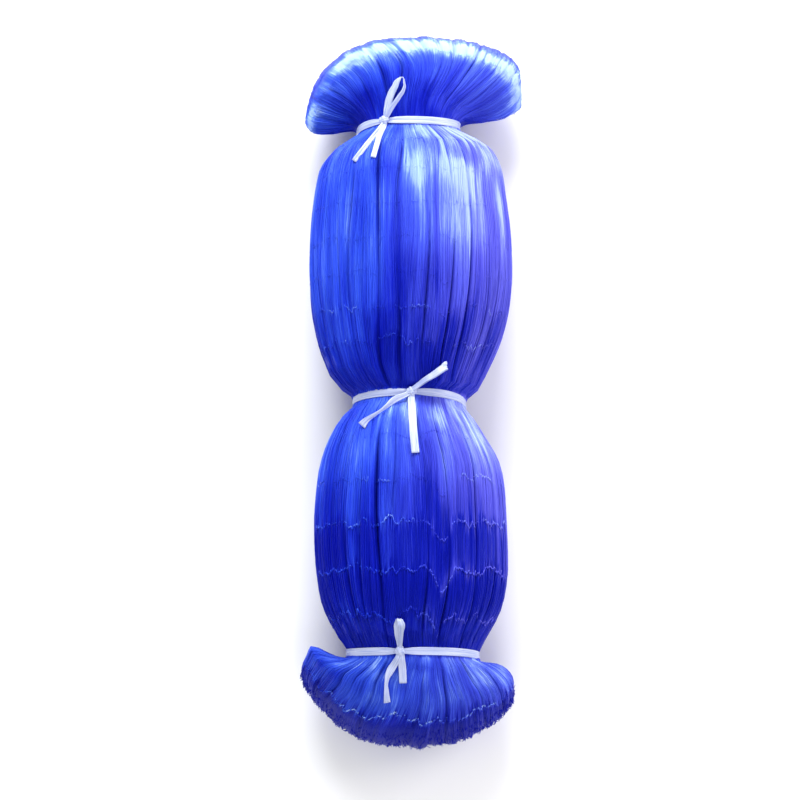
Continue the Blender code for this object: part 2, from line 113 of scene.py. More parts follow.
# right to left over the face: where a crease lies on each lobe, from 1 at the right to -1, and its depths
faceCreases = (
    (1.00, 1.00, 1.6, 1.6),
    (0.97, 0.97, 1.6, 1.6),
    (0.92, 0.92, 1.8, 1.8),
    (0.84, 0.84, 2.0, 2.8),
    (0.745, 0.74, 2.4, 2.0),
    (0.645, 0.64, 1.8, 4.8),
    (0.55, 0.55, 4.2, 1.8),
    (0.46, 0.44, 2.0, 2.0),
    (0.375, 0.33, 3.8, 4.0),
    (0.26, 0.23, 2.2, 1.8),
    (0.14, 0.12, 3.2, 3.2),
    (0.03, 0.00, 1.6, 1.6),
    (-0.095, -0.15, 3.6, 2.4),
    (-0.30, -0.32, 4.6, 5.0),
    (-0.44, -0.41, 1.8, 2.0),
    (-0.575, -0.50, 2.8, 2.6),
    (-0.69, -0.65, 2.0, 3.0),
    (-0.80, -0.81, 2.2, 2.6),
    (-0.91, -0.91, 1.8, 1.8),
    (-0.97, -0.97, 1.6, 1.6),
)
undersideDepths = (1.6, 3.0)
undersideScatter = 0.22  # of a tress
warpRows = 3.0  # places from each end over which the creases come to an even spacing on the ridge


def eased(t):
    t = np.clip(t, 0, 1)
    return t * t * (3 - 2 * t)


def unitRows(vectors):
    return vectors / np.maximum(np.linalg.norm(vectors, axis=1), 1e-9)[:, None]


def lengthAlong(points):  # how far along a line each of its points is
    return np.concatenate([[0], np.cumsum(np.linalg.norm(np.diff(points, axis=0), axis=1))])


def creaseTable():  # each crease's angle and depth on both lobes, start of its sway and reach of its tress
    chance = random.Random(hank["seed"])
    count, face = hank["locks"], len(faceCreases)
    angles, depths = np.zeros((2, count + 1)), np.zeros((2, count + 1))
    starts = np.array([chance.uniform(0, 2 * math.pi) for _ in range(count + 1)])
    reaches = np.array([chance.uniform(-1, 1) for _ in range(count + 1)])
    for i, (first, second, deepFirst, deepSecond) in enumerate(faceCreases):
        angles[:, i] = math.acos(first), math.acos(second)
        depths[:, i] = deepFirst, deepSecond
    for i in range(face, count):
        angles[:, i] = 2 * math.pi * (i + chance.uniform(-undersideScatter, undersideScatter)) / count
        depths[:, i] = [chance.uniform(*undersideDepths) for _ in range(2)]
    angles[:, face] = math.pi
    for table in (angles, depths, starts, reaches):
        table[..., count] = table[..., 0]
    angles[:, count] = 2 * math.pi
    return angles, depths, starts, reaches


creaseAngles, creaseDepths, swayStarts, lockReaches = creaseTable()
profile = np.array(sections, float)
profile = np.vstack([profile[1], profile, profile[-2]])
profile[[0, -1], 6] *= -1  # the strands turn over at each ridge and come back underneath


def sectionAt(place):
    first = np.clip(np.floor(place).astype(int), 0, lastPlace - 1)
    t = (place - first)[:, None]
    a, b, c, d = (profile[first + k] for k in range(4))
    return b + 0.5 * t * (c - a + t * (2 * a - 5 * b + 4 * c - d + t * (3 * (b - c) + d - a)))


def byLobe(table, lock, place):
    first, second = (np.interp(lock, np.arange(hank["locks"] + 1), row) for row in table)
    return first + (second - first) * eased((place - lobeBreak + lobeBlend[0]) / lobeBlend[1])


def evenness(place):  # 0 along the body and 1 on the ridge of each end
    return eased(1 - np.minimum(place, lastPlace - place) / warpRows)


def sway(lock, place):
    before = np.floor(lock).astype(int)
    turns = 2 * np.pi * place / hank["swayRows"]
    left, right = (np.sin(turns + swayStarts[np.minimum(before + k, hank["locks"])]) for k in range(2))
    return hank["sway"] * (left + (right - left) * (lock - before)) * (1 - evenness(place))


def folded(lock, place):  # a place past a ridge lies on the other side of the hank
    over = (place < 0) | (place > lastPlace)
    place = np.where(place > lastPlace, 2 * lastPlace - place, np.abs(place))
    return np.where(over, hank["locks"] - lock, lock) % hank["locks"], place


def skin(lock, place):
    lock, place = folded(lock, place)
    angle = byLobe(creaseAngles, lock, place) + sway(lock, place)
    angle = angle + (2 * np.pi * lock / hank["locks"] - angle) * evenness(place)
    left, right, y, yLeft, yRight, centre, half, sharpLeft, sharpRight, _ = sectionAt(place).T
    across, up = np.cos(angle), np.sin(angle)
    side = (1 + across) / 2
    yEdge = yLeft + (yRight - yLeft) * side
    sharp = sharpLeft + (sharpRight - sharpLeft) * side
    x = (left + right) / 2 + (right - left) / 2 * np.sign(across) * np.abs(across) ** hank["acrossPower"]
    y = yEdge + (y - yEdge) * np.abs(up) ** sharp
    z = centre + half * np.sign(up) * np.abs(up) ** hank["upPower"]
    return np.stack([x, y, z], axis=1)


def stepAlong(lock, place, step=0.05):
    return skin(lock, place + step) - skin(lock, place - step)


def stepRound(lock, place, step=0.05):
    return skin(lock + step, place) - skin(lock - step, place)


def skinNormal(lock, place, step=0.03):
    return unitRows(np.cross(stepRound(lock, place, step), stepAlong(lock, place, step)))


def blurred(u, v, cellsU, cellsV, seed):  # smooth noise from -1 to 1, the same where u is 0 and 1
    grid = np.random.default_rng(seed).uniform(-1, 1, (cellsU, cellsV + 2))
    u, v = (u % 1.0) * cellsU, np.clip(v, 0, 1) * cellsV
    i, j = np.floor(u).astype(int) % cellsU, np.floor(v).astype(int)
    s, t = eased(u - np.floor(u)), eased(v - j)
    low = grid[i, j] * (1 - s) + grid[(i + 1) % cellsU, j] * s
    high = grid[i, j + 1] * (1 - s) + grid[(i + 1) % cellsU, j + 1] * s
    return low * (1 - t) + high * t


def grainOver(lock, place, cellsRound, cellsAlong, seed):  # that noise over the whole hank
    return blurred(lock / hank["locks"], place / lastPlace, cellsRound, cellsAlong, seed)


def grainRound(lock, cells, seed):  # and round it alone
    return blurred(lock / hank["locks"], np.full(len(lock), 0.5), cells, 2, seed)


def creaseShare(place):
    return np.clip(sectionAt(place)[:, -1], hank["leastShare"], 1)


def creaseDepth(lock, place):
    nearest = np.round(lock)
    wave = np.sin(2 * np.pi * place / hank["swayRows"] + 2 * swayStarts[nearest.astype(int)])
    return byLobe(creaseDepths, nearest, place) * (1 + hank["swell"] * wave)


def groove(lock, depth):  # 1 in the bottom of a crease and 0 on the tress beside it; a deep one is wider
    gap = np.abs(lock - np.round(lock))
    width = hank["grooveWidth"] + hank["grooveSpread"] * depth
    return np.clip(1 - gap / width, 0, 1) ** hank["groovePower"]


def reliefOneSide(lock, place):
    depth = creaseDepth(lock, place)
    within = groove(lock, depth)
    shown = depth * np.clip((depth - hank["shallow"]) / hank["shallowOver"], hank["shallowShare"], 1)
    bulge = np.sin(np.pi * (lock % 1.0))
    crest = hank["crest"] * bulge ** hank["crestPower"]
    ends = evenness(place)
    smooth = place < lobeBreak
    calm = 1 - ends * np.where(smooth, hank["smoothCalm"], hank["raggedCalm"])
    reach = np.where(smooth, hank["smoothReach"], hank["raggedReach"])
    reach = reach * lockReaches[np.floor(lock).astype(int)] * ends * bulge ** hank["reachPower"]
    return creaseShare(place) * (crest * (1 - within) - shown * within * calm) + reach


def relief(lock, place):
    lock, place = folded(lock, place)
    edge = np.minimum(place, lastPlace - place)
    share = 0.5 + 0.5 * np.clip(edge / hank["ridgeBlend"], 0, 1)
    other = (hank["locks"] - lock) % hank["locks"]
    return reliefOneSide(lock, place) * share + reliefOneSide(other, place) * (1 - share)


def creaseShading(lock, place):  # painted shade in a crease: how much of the light it keeps out
    lock, place = folded(lock, place)
    depth = creaseDepth(lock, place)
    share = creaseShare(place) * (1 - hank["creaseShadeCalm"] * evenness(place))
    dark = groove(lock, depth * hank["creaseShadeWidth"]) * (depth - hank["shallow"])
    return np.clip(dark * share / hank["creaseShadeDepth"], 0, 1)


def toFrame(points):
    return (points + np.array(hank["place"])) * mm


def placeOfY(y, samples=1201):  # where along the strands a height on the face's middle line is
    places = np.linspace(0, lastPlace, samples)
    heights = sectionAt(places)[:, 2]
    return np.interp(-np.asarray(y, float), -heights, places)


# Painted light and shade, with some random tone, in how pale the strands look, from 0, deep blue, to 1: each
# stretch between two waists is painted palest at its upper end, which faces the light, and in deeper painted
# shade down its length
paintedLightAndTone = {
    "waists": (0.0, 5.5, 15.5, 24.5, 30.0),  # places of the two ridges and the three ties
    "reach": (0.7, 0.74, 0.45, 0.75),  # how far down each stretch the painted light is halfway gone
    "lit": 0.72,
    "deep": -0.06,
    "fall": 4.0,
    "rimShades": (0.75, 0.95),  # painted shade on each ridge, where the strands turn down: how much of the tone it takes
    "rimShadePlaces": (1.0, 2.0),  # and over how far
    # painted glints, soft highlights in the colour: place and lock of the middle, reach along and round,
    # slant in places a lock, strength
    "paintedGlints": (
        (1.5, 10.0, 0.50, 13.0, 0.0, 0.42),
        (6.6, 10.2, 0.50, 1.4, 0.0, 0.26),
        (8.6, 11.0, 0.50, 0.6, 0.0, 0.26),
        (8.6, 7.0, 0.55, 2.4, -0.25, 0.31),
        (16.8, 8.5, 0.60, 3.5, 0.0, 0.22),
    ),
    "paintedGlintGrain": (150, 9, 0.90, 9),  # cells round and along, amount and seed
    # painted light: the right side is drawn paler, as if lit from that side
    "rightSideLit": 0.15,
    "endsSideLit": 0.35,  # how much of the painted side light on the right, its paleness and lilac sheen, is left on the two end tufts
    "endsFade": (1, 2),  # how far past the first and third ties that starts, and over how far
    "underside": 0.38,
    "underRise": 2.5,  # how soon past the edge the underside takes that tone
    # cells round and along, amount and seed
    "patches": ((34, 22, 0.17, 5), (90, 12, 0.13, 6), (16, 42, 0.12, 8)),
    "rowLight": 0.85,  # painted light above a row of knots and painted shade below it, for each millimetre of its line
    "rowReach": 10.0,
    "sideLitFrom": -0.45,  # painted side light: the right side takes a lilac sheen from here to its edge
    "sideLitOver": 1.35,
}


# painted light and shade down each stretch, and painted shade on each ridge
def stretchPaintedLight(place, y):
    waists = np.array(paintedLightAndTone["waists"])
    ends = sectionAt(waists)[:, 2]
    stretch = np.clip(np.searchsorted(waists, place, side="right") - 1, 0, len(waists) - 2)
    down = np.clip((ends[stretch] - y) / (ends[stretch] - ends[stretch + 1]), 0, 1)
    lightness = 1 / (1 + (down / np.array(paintedLightAndTone["reach"])[stretch]) ** paintedLightAndTone["fall"])
    tone = paintedLightAndTone["deep"] + (paintedLightAndTone["lit"] - paintedLightAndTone["deep"]) * lightness
    for edge, rimShade, over in zip((place, lastPlace - place), paintedLightAndTone["rimShades"], paintedLightAndTone["rimShadePlaces"]):
        tone = tone * (1 - rimShade * eased(1 - edge / over))
    return tone


# painted highlights, with a streaky grain
def paintedGlintLight(lock, place):
    cellsRound, cellsAlong, amount, seed = paintedLightAndTone["paintedGlintGrain"]
    grain = 1 + amount * grainOver(lock, place, cellsRound, cellsAlong, seed)
    light = 0
    for middle, middleLock, reachAlong, reachRound, slant, strength in paintedLightAndTone["paintedGlints"]:
        aside = lock - middleLock
        off = ((place - middle - slant * aside) / reachAlong) ** 2 + (aside / reachRound) ** 2
        light = light + strength * np.exp(-off)
    return light * grain


def lookAt(lock, place):  # painted light and shade with random tone, painted lilac side sheen, and painted crease shade
    around, along = folded(lock, place)
    angle = byLobe(creaseAngles, around, along)
    across, under = np.cos(angle), np.clip(-paintedLightAndTone["underRise"] * np.sin(angle), 0, 1)
    y = sectionAt(along)[:, 2]
    _, firstTie, _, thirdTie, _ = paintedLightAndTone["waists"]
    past, over = paintedLightAndTone["endsFade"]
    inBody = eased((along - firstTie + past) / over) * eased((thirdTie + past - along) / over)
    sideLit = paintedLightAndTone["endsSideLit"] + (1 - paintedLightAndTone["endsSideLit"]) * inBody
    tone = stretchPaintedLight(along, y) + paintedLightAndTone["rightSideLit"] * sideLit * np.maximum(across, 0)
    tone = tone + paintedGlintLight(around, along)
    # painted light above each row of knots and painted shade below it
    for row, (_, _, thick, shown) in enumerate(knotRows):
        if thick:
            off = (y - knotY(row, around, 0)) / paintedLightAndTone["rowReach"]
            light = np.where(off > 0, np.exp(-off), -np.exp(np.minimum(off, 0)))
            tone = tone + paintedLightAndTone["rowLight"] * thick * shown * light
    tone = tone + (paintedLightAndTone["underside"] - tone) * under
    for cellsRound, cellsAlong, amount, seed in paintedLightAndTone["patches"]:
        tone = tone + amount * grainOver(around, along, cellsRound, cellsAlong, seed)
    # painted lilac sheen of the side light on the right
    sideLitLilac = sideLit * eased((across - paintedLightAndTone["sideLitFrom"]) / paintedLightAndTone["sideLitOver"])
    return np.stack([tone, sideLitLilac, creaseShading(lock, place)], axis=1)


# y of each row of knots, how far it wanders up and down the strands, how thick a line it makes, and over how
# much of the width that line shows
knotRows = (
    (312, 2.0, 0.0, 0.0),
    (272, 2.5, 0.0, 0.0),
    (224, 2.0, 0.0, 0.0),
    (193, 2.5, 0.0, 0.0),
    (161, 2.5, 0.0, 0.0),
    (129, 3.0, 0.0, 0.0),
    (97, 3.0, 0.0, 0.0),
    (65.6, 3.5, 0.18, 0.30),
    (34.6, 4.0, 0.22, 0.40),
    (-9, 0.0, 0.0, 0.0),
    (-49, 3.0, 0.0, 0.0),
    (-89, 3.5, 0.18, 0.30),
    (-127.5, 4.0, 0.32, 0.72),
    (-168.5, 4.0, 0.38, 0.85),
    (-209.5, 4.5, 0.38, 0.75),
    (-254, 2.0, 0.0, 0.0),
    (-300, 3.5, 0.40, 0.85),
)
# where rows of knots hang lower, in the creases: first and last row, lock in the middle, reach and depth
knotDips = (
    (6, 8, 8.6, 0.9, 10),
    (11, 14, 8.5, 0.75, 17),
    (8, 8, 4.5, 1.5, 6),
    (12, 14, 5.6, 0.6, 5),
    (12, 14, 12.6, 0.6, 5),
    (16, 16, 11.5, 0.8, -5),
)
knotGrain = ((0.8, 36), (0.7, 92), (0.5, 210))  # a row's wandering: share of each grain, and its cells round
knotStray = 0.25  # how far a knot strays from its row, as a share of the row's wandering


def knotY(row, lock, jitter):
    y, wander, _, _ = knotRows[row]
    drop = sum(part * grainRound(lock, cells, cells + row) for part, cells in knotGrain)
    drop = drop * wander
    for first, last, middle, reach, depth in knotDips:
        if first <= row <= last:
            drop = drop - depth * np.exp(-(((lock - middle) / reach) ** 2))
    return y + drop + jitter * wander * knotStray


def linked(name, data):
    thing = bpy.data.objects.new(name, data)
    bpy.context.collection.objects.link(thing)
    return thing


def addPiece(name, mesh, finish):
    mesh.materials.clear()
    mesh.materials.append(finish)
    piece = linked(name, mesh)
    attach(piece, "root")
    return piece


def meshFrom(bm, name):
    mesh = bpy.data.meshes.new(name)
    bm.to_mesh(mesh)
    bm.free()
    mesh.shade_smooth()
    return mesh


def threadMesh(name, paths):  # closed thin tubes, one for each path of points, radii, lock, place and tint
    curve = bpy.data.curves.new(name, "CURVE")
    curve.dimensions = "3D"
    curve.bevel_depth = mm
    curve.bevel_resolution = 0
    for points, radii, _, _, _ in paths:
        spline = curve.splines.new("POLY")
        spline.points.add(len(points) - 1)
        positions = np.c_[toFrame(points), np.ones(len(points))]
        spline.points.foreach_set("co", positions.astype(np.float32).ravel())
        spline.points.foreach_set("radius", np.asarray(radii, np.float32))
    holder = linked(name + "Line", curve)
    graph = bpy.context.evaluated_depsgraph_get()
    tubes = bpy.data.meshes.new_from_object(holder.evaluated_get(graph))
    bpy.data.objects.remove(holder)
    bpy.data.curves.remove(curve)
    lock, place = (np.concatenate([path[k] for path in paths]) for k in (2, 3))
    tint = np.concatenate([np.full(len(path[2]), path[4]) for path in paths])
    sides = len(tubes.vertices) // len(lock)
    for layerName, values in (("flow", np.c_[lock, place, tint]), ("look", lookAt(lock, place))):
        layer = tubes.attributes.new(layerName, "FLOAT_VECTOR", "POINT")
        layer.data.foreach_set("vector", np.repeat(values, sides, axis=0).astype(np.float32).ravel())
    bm = bmesh.new()
    bm.from_mesh(tubes)
    bpy.data.meshes.remove(tubes)
    bmesh.ops.holes_fill(bm, edges=[edge for edge in bm.edges if edge.is_boundary], sides=sides)
    bmesh.ops.recalc_face_normals(bm, faces=bm.faces)
    return meshFrom(bm, name)


# View, floor and light
view = {
    "aim": (-12.4, -17.9, 60.0),
    "elevation": 80.0,
    "distance": 2000.0,
    "width": 728.8,  # what the frame takes in at the aim
    "sensor": 36,
    "clipEnd": 100,
    "floorSize": 12.0,  # metres
    "floorColour": (0.96, 0.96, 0.96, 1),
    "floorRoughness": 0.9,
    "floorSpecular": 0.1,
    "worldColour": (1.0, 1.0, 1.0, 1),
    "worldStrength": 0.60,
}
lights = {  # which way it stands, how many metres off, size, power and colour
    "keyLight": ((-0.12, 0.83, 0.55), 2.0, 1.2, 58, (0.95, 0.98, 1.0)),
    "sideLight": ((0.85, 0.25, 0.50), 1.8, 0.9, 15, (1.0, 0.95, 1.0)),
    "fillLight": ((0.10, -0.75, 0.70), 2.0, 1.6, 12, (1.0, 1.0, 1.0)),
}


def newFinish(name, roughness, specular):
    finish = bpy.data.materials.new(name)
    finish.use_nodes = True
    shader = finish.node_tree.nodes["Principled BSDF"]
    shader.inputs["Roughness"].default_value = roughness
    shader.inputs["Specular IOR Level"].default_value = specular
    return finish, finish.node_tree, shader


def addView():
    aim = Vector(view["aim"]) * mm
    tilt = math.radians(view["elevation"])
    back = Vector((0, -math.cos(tilt), math.sin(tilt)))
    lens = bpy.data.cameras.new("camera")
    lens.sensor_width = view["sensor"]
    lens.lens = lens.sensor_width * view["distance"] / view["width"]
    lens.clip_end = view["clipEnd"]
    camera = linked("camera", lens)
    camera.location = aim + back * view["distance"] * mm
    camera.rotation_euler = back.to_track_quat("Z", "Y").to_euler()
    bpy.context.scene.camera = camera
    bpy.context.scene.view_settings.view_transform = "Standard"

    bm = bmesh.new()
    bmesh.ops.create_grid(bm, x_segments=4, y_segments=4, size=view["floorSize"] / 2)
    floor = linked("floor", meshFrom(bm, "floor"))
    matte, _, shader = newFinish("paleFloor", view["floorRoughness"], view["floorSpecular"])
    shader.inputs["Base Color"].default_value = view["floorColour"]
    floor.data.materials.append(matte)

    world = bpy.data.worlds.new("studio")
    world.use_nodes = True
    sky = world.node_tree.nodes["Background"]
    sky.inputs["Color"].default_value = view["worldColour"]
    sky.inputs["Strength"].default_value = view["worldStrength"]
    bpy.context.scene.world = world
    for name, (towards, distance, size, power, colour) in lights.items():
        lamp = bpy.data.lights.new(name, "AREA")
        lamp.size = size
        lamp.energy = power
        lamp.color = colour
        holder = linked(name, lamp)
        way = Vector(towards).normalized()
        holder.location = way * distance
        holder.rotation_euler = way.to_track_quat("Z", "Y").to_euler()
    print("view, floor and light made")


# Finishes
nylon = {
    # colours of the tone, from painted shade at 0 to painted highlight at 1
    "blue": (
        (0.0, (0.001, 0.003, 0.36, 1)),
        (0.22, (0.002, 0.007, 0.43, 1)),
        (0.45, (0.012, 0.035, 0.60, 1)),
        (0.70, (0.036, 0.095, 0.76, 1)),
        (0.86, (0.11, 0.22, 0.86, 1)),
        (1.0, (0.36, 0.54, 0.96, 1)),
    ),
    # the same colours under the painted lilac sheen of the side light
    "sideLitLilac": (
        (0.0, (0.002, 0.004, 0.36, 1)),
        (0.22, (0.012, 0.016, 0.44, 1)),
        (0.45, (0.085, 0.080, 0.62, 1)),
        (0.70, (0.130, 0.130, 0.74, 1)),
        (0.86, (0.22, 0.26, 0.84, 1)),
        (1.0, (0.44, 0.54, 0.95, 1)),
    ),
    "creaseShade": (0.04, 0.06, 0.45, 1),
    "creaseShadeShare": 0.9,  # how much of this painted crease shade the darkest crease takes
    "streak": 0.75,  # how far the streaks swing the tone
    "streakNoise": ((7.0, 0.55, 3.0), 4.0, 0.62),  # scale, narrow across the strands, detail, roughness
    "roughness": 0.40,
    "specular": 0.42,
    "specularTint": (0.16, 0.32, 1.0, 1),  # light that has passed through the dyed line comes back blue
    "ior": 1.53,
}
tape = {
    "thickness": 0.45,
    "step": 1.5,
    "segments": 10,
    "clearance": 0.35,
    "solidHalf": 0.5,  # half the thickness of the solid tape, whose middle this one follows
    "above": 500,  # from where the netting under a loose stretch is felt for
    "near": 2,  # steps to either side over which the netting's slope is evened out
    "steadyPower": 6,
    "fold": 0.34,
    "folds": ((9.0, 0.020, 1.0), (17.0, -0.031, 0.6), (5.0, 0.11, 0.5)),  # wave across, drift along and share
    "colours": ((0.34, (0.26, 0.33, 0.63, 1)), (0.56, (0.50, 0.55, 0.76, 1))),
    "lineNoise": ((9.0, 0.05, 1.0), 5.0, 0.6),
    "roughness": 0.34,
    "specular": 0.6,
    "bump": (0.5, 0.0004),
}


def addNode(tree, kind, **values):
    node = tree.nodes.new(kind)
    for name, value in values.items():
        if name in node.inputs:
            node.inputs[name].default_value = value
        else:
            setattr(node, name, value)
    return node


def flowNoise(tree, scale, detail, roughness):  # streaks that run with the strands or the tape
    flow = addNode(tree, "ShaderNodeAttribute", attribute_name="flow")
    stretched = addNode(tree, "ShaderNodeMapping", Scale=scale)
    noise = addNode(tree, "ShaderNodeTexNoise", Scale=1.0, Detail=detail, Roughness=roughness)
    tree.links.new(flow.outputs["Vector"], stretched.inputs["Vector"])
    tree.links.new(stretched.outputs["Vector"], noise.inputs["Vector"])
    return noise.outputs["Fac"]


def ramped(tree, value, colours):
    ramp = addNode(tree, "ShaderNodeValToRGB")
    stops = ramp.color_ramp.elements
    while len(stops) < len(colours):
        stops.new(0.5)
    for stop, (position, colour) in zip(stops, colours):
        stop.position, stop.color = position, colour
    tree.links.new(value, ramp.inputs["Fac"])
    return ramp.outputs["Color"]


def nylonFinish(name, paler=0.0, creaseShadeShare=nylon["creaseShadeShare"], specular=nylon["specular"]):
    finish, tree, shader = newFinish(name, nylon["roughness"], specular)
    link = tree.links.new
    shader.inputs["Specular Tint"].default_value = nylon["specularTint"]
    shader.inputs["IOR"].default_value = nylon["ior"]
    # the look attribute: painted light and shade with random tone, painted side sheen, and painted crease
    # shade
    look = addNode(tree, "ShaderNodeAttribute", attribute_name="look")
    parts = addNode(tree, "ShaderNodeSeparateXYZ")
    link(look.outputs["Vector"], parts.inputs[0])
    swing = addNode(tree, "ShaderNodeMath", operation="MULTIPLY_ADD")  # streaks round the tone of the place
    link(flowNoise(tree, *nylon["streakNoise"]), swing.inputs[0])
    swing.inputs[1].default_value = nylon["streak"]
    swing.inputs[2].default_value = paler - nylon["streak"] / 2
    pale = addNode(tree, "ShaderNodeMath", operation="ADD")
    link(swing.outputs[0], pale.inputs[0])
    link(parts.outputs["X"], pale.inputs[1])
    # mixes in the painted lilac sheen of the side light
    sideLit = addNode(tree, "ShaderNodeMix", data_type="RGBA")
    link(parts.outputs["Y"], sideLit.inputs["Factor"])
    link(ramped(tree, pale.outputs[0], nylon["blue"]), sideLit.inputs[6])
    link(ramped(tree, pale.outputs[0], nylon["sideLitLilac"]), sideLit.inputs[7])
    # painted shade in the creases, multiplied into the colour
    creaseShadeMix = addNode(tree, "ShaderNodeMix", data_type="RGBA", blend_type="MULTIPLY")
    amount = addNode(tree, "ShaderNodeMath", operation="MULTIPLY")
    amount.inputs[1].default_value = creaseShadeShare
    link(parts.outputs["Z"], amount.inputs[0])
    link(amount.outputs[0], creaseShadeMix.inputs["Factor"])
    link(sideLit.outputs[2], creaseShadeMix.inputs[6])
    creaseShadeMix.inputs[7].default_value = nylon["creaseShade"]
    link(creaseShadeMix.outputs[2], shader.inputs["Base Color"])
    return finish


def tapeFinish():
    finish, tree, shader = newFinish("whiteTape", tape["roughness"], tape["specular"])
    link = tree.links.new
    lines = flowNoise(tree, *tape["lineNoise"])
    link(ramped(tree, lines, tape["colours"]), shader.inputs["Base Color"])
    strength, depth = tape["bump"]
    raised = addNode(tree, "ShaderNodeBump", Strength=strength, Distance=depth)
    link(lines, raised.inputs["Height"])
    link(raised.outputs["Normal"], shader.inputs["Normal"])
    return finish


# The core of the hank: its whole skin, with its creases and the finer streaks between them
core = {
    "pointsATress": 12,
    "rings": 150,
    "inset": 0.55,
    "streaks": ((100, 26, 0.85, 11), (240, 60, 0.45, 12)),  # cells round and along, height and seed
    "weld": 0.01,
    "rest": 0.25,  # the underside lies this far over the floor
    "paler": -0.05,
    "creaseShadeShare": 0.95,
}


def streakHeight(lock, place):
    return sum(
        grainOver(lock, place, cellsRound, cellsAlong, seed) * height
        for cellsRound, cellsAlong, height, seed in core["streaks"]
    )


def evenPlaces(count, samples=3001):  # places at even steps of length along the middle of the face
    fine = np.linspace(0, lastPlace, samples)
    line = sectionAt(fine)[:, [2, 5]]
    line[:, 1] += sectionAt(fine)[:, 6]
    gone = lengthAlong(line)
    return np.interp(np.linspace(0, gone[-1], count + 1), gone, fine)


def skinGrid(pointsATress, rings):  # a grid for the whole skin, and the lock and place of each of its points
    columns = hank["locks"] * pointsATress
    bm = bmesh.new()
    bmesh.ops.create_grid(bm, x_segments=columns, y_segments=rings, size=0.5)
    grid = np.array([v.co for v in bm.verts]) + 0.5
    lock = np.round(grid[:, 0] * columns) / pointsATress
    return bm, lock, evenPlaces(rings)[np.round(grid[:, 1] * rings).astype(int)]


def addCore(finish):
    bm, lock, place = skinGrid(core["pointsATress"], core["rings"])
    around = lock % hank["locks"]
    points = toFrame(skin(lock, place))
    lift = relief(around, place) + streakHeight(around, place) * creaseShare(place) - core["inset"]
    seen = lookAt(around, place)
    rise = bm.verts.layers.float.new("rise")
    flow = bm.verts.layers.float_vector.new("flow")
    look = bm.verts.layers.float_vector.new("look")
    for i, v in enumerate(bm.verts):
        v.co = points[i]
        v[rise] = lift[i] * mm
        v[flow] = (lock[i], place[i], 0)
        v[look] = seen[i]
    bmesh.ops.remove_doubles(bm, verts=bm.verts, dist=core["weld"] * mm)
    bmesh.ops.recalc_face_normals(bm, faces=bm.faces)
    for v, move in [(v, v.normal * v[rise]) for v in bm.verts]:
        v.co += move
        v.co.z = max(v.co.z, core["rest"] * mm)
    bm.verts.layers.float.remove(rise)
    piece = addPiece("netCore", meshFrom(bm, "netCore"), finish)
    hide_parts("net_hank")
    print("core of the hank made:", len(piece.data.polygons), "faces")


# The strands over it, from knot to knot
strands = {
    "faceATress": 24,
    "undersideATress": 12,
    "scatter": 0.3,  # of their spacing
    "radius": (0.26, 0.40),
    "lift": (-0.35, 0.30),
    "liftShare": (2, 0.35),  # how fast the lift returns past a tie, and how much of it is left under one
    "streakShare": 0.8,  # of the core's streaks
    "wander": 0.10,  # of a tress
    "wanderShare": 0.6,  # of that for what neighbours share and for what each has alone
    "wanderCells": (90, 14, 9),  # round and along for the first, along for the second
    "between": 3,  # points between two knots along the body
    "betweenAtEnds": 5,
    "endRows": 3,
    "gather": 0.3,  # how much of the way from one row to the next a strand leans over to its knot
    "facePlaces": (-3.2, -2.4, -1.6, -1.0, -0.5, 0.0, 0.45, 0.9),  # of the points before the first knot
    "undersidePlaces": (0.3, 0.8),
    "raggedReach": (-0.8, 0.9),
    "raggedLeast": 0.5,  # an end that is less uneven than this stays as it is
    "raggedClumps": (1.6, 130),  # how much further they reach in clumps, and cells round the hank
    "raggedPlaces": (28.9, 29.1, 29.3, 29.5, 29.65, 29.8, 29.9, 30.0),
    "raggedGap": 0.05,  # these are at least so far past the last knot
    "raggedMiddle": 28.6,  # the ends point away from the tuft's inside here
    "tuck": 0.5,  # how much lower the strands lie under a tie, and how far along they do
    "tuckPlaces": 0.6,
    "facePieces": 4,
    "undersidePieces": 2,
    "rest": 0.45,
    "seed": 21,
}


def onHank(lock, place, lift):
    return skin(lock, place) + skinNormal(lock, place) * (relief(lock, place) + lift)[:, None]


def tucked(place):  # 1 under a tie and 0 away from it
    return sum(np.exp(-(((place - waist) / strands["tuckPlaces"]) ** 2)) for waist in paintedLightAndTone["waists"][1:-1])


def strandKnots(base, chance):  # the lock and height at which each strand meets its neighbour, row by row
    rows, count = len(knotRows), len(base)
    index = np.arange(count)
    middles, heights = np.zeros((rows, count)), np.zeros((rows, count))
    for row in range(rows):
        partner = index ^ 1 if row % 2 == 0 else ((index + 1) ^ 1) - 1
        partner = np.clip(partner, 0, count - 1)
        jitter = chance.uniform(-1, 1, count)[np.minimum(index, partner)]
        middles[row] = (base + base[partner]) / 2
        heights[row] = knotY(row, middles[row], jitter)
    return middles, heights


def strandRings(base, middles, places, startPlaces):  # every strand's lock and place, point by point
    rows = len(knotRows)
    rings = [(base, np.full(len(base), place)) for place in startPlaces]
    for row in range(rows):
        atEnds = row < strands["endRows"] or row > rows - strands["endRows"]
        steps = strands["betweenAtEnds"] if atEnds else strands["between"]
        last = row == rows - 1
        for step in range(1 if last else steps + 1):
            t = step / (steps + 1)
            lock = base + (middles[row] - base) * max(0, 1 - t / strands["gather"])
            place = places[row]
            if not last:
                lock = lock + (middles[row + 1] - base) * max(0, 1 - (1 - t) / strands["gather"])
                place = place + (places[row + 1] - places[row]) * t
            rings.append((lock, place))
    for place in strands["raggedPlaces"]:
        rings.append((base, np.maximum(np.full(len(base), place), places[-1] + strands["raggedGap"])))
    return [np.array([ring[k] for ring in rings]) for k in range(2)]


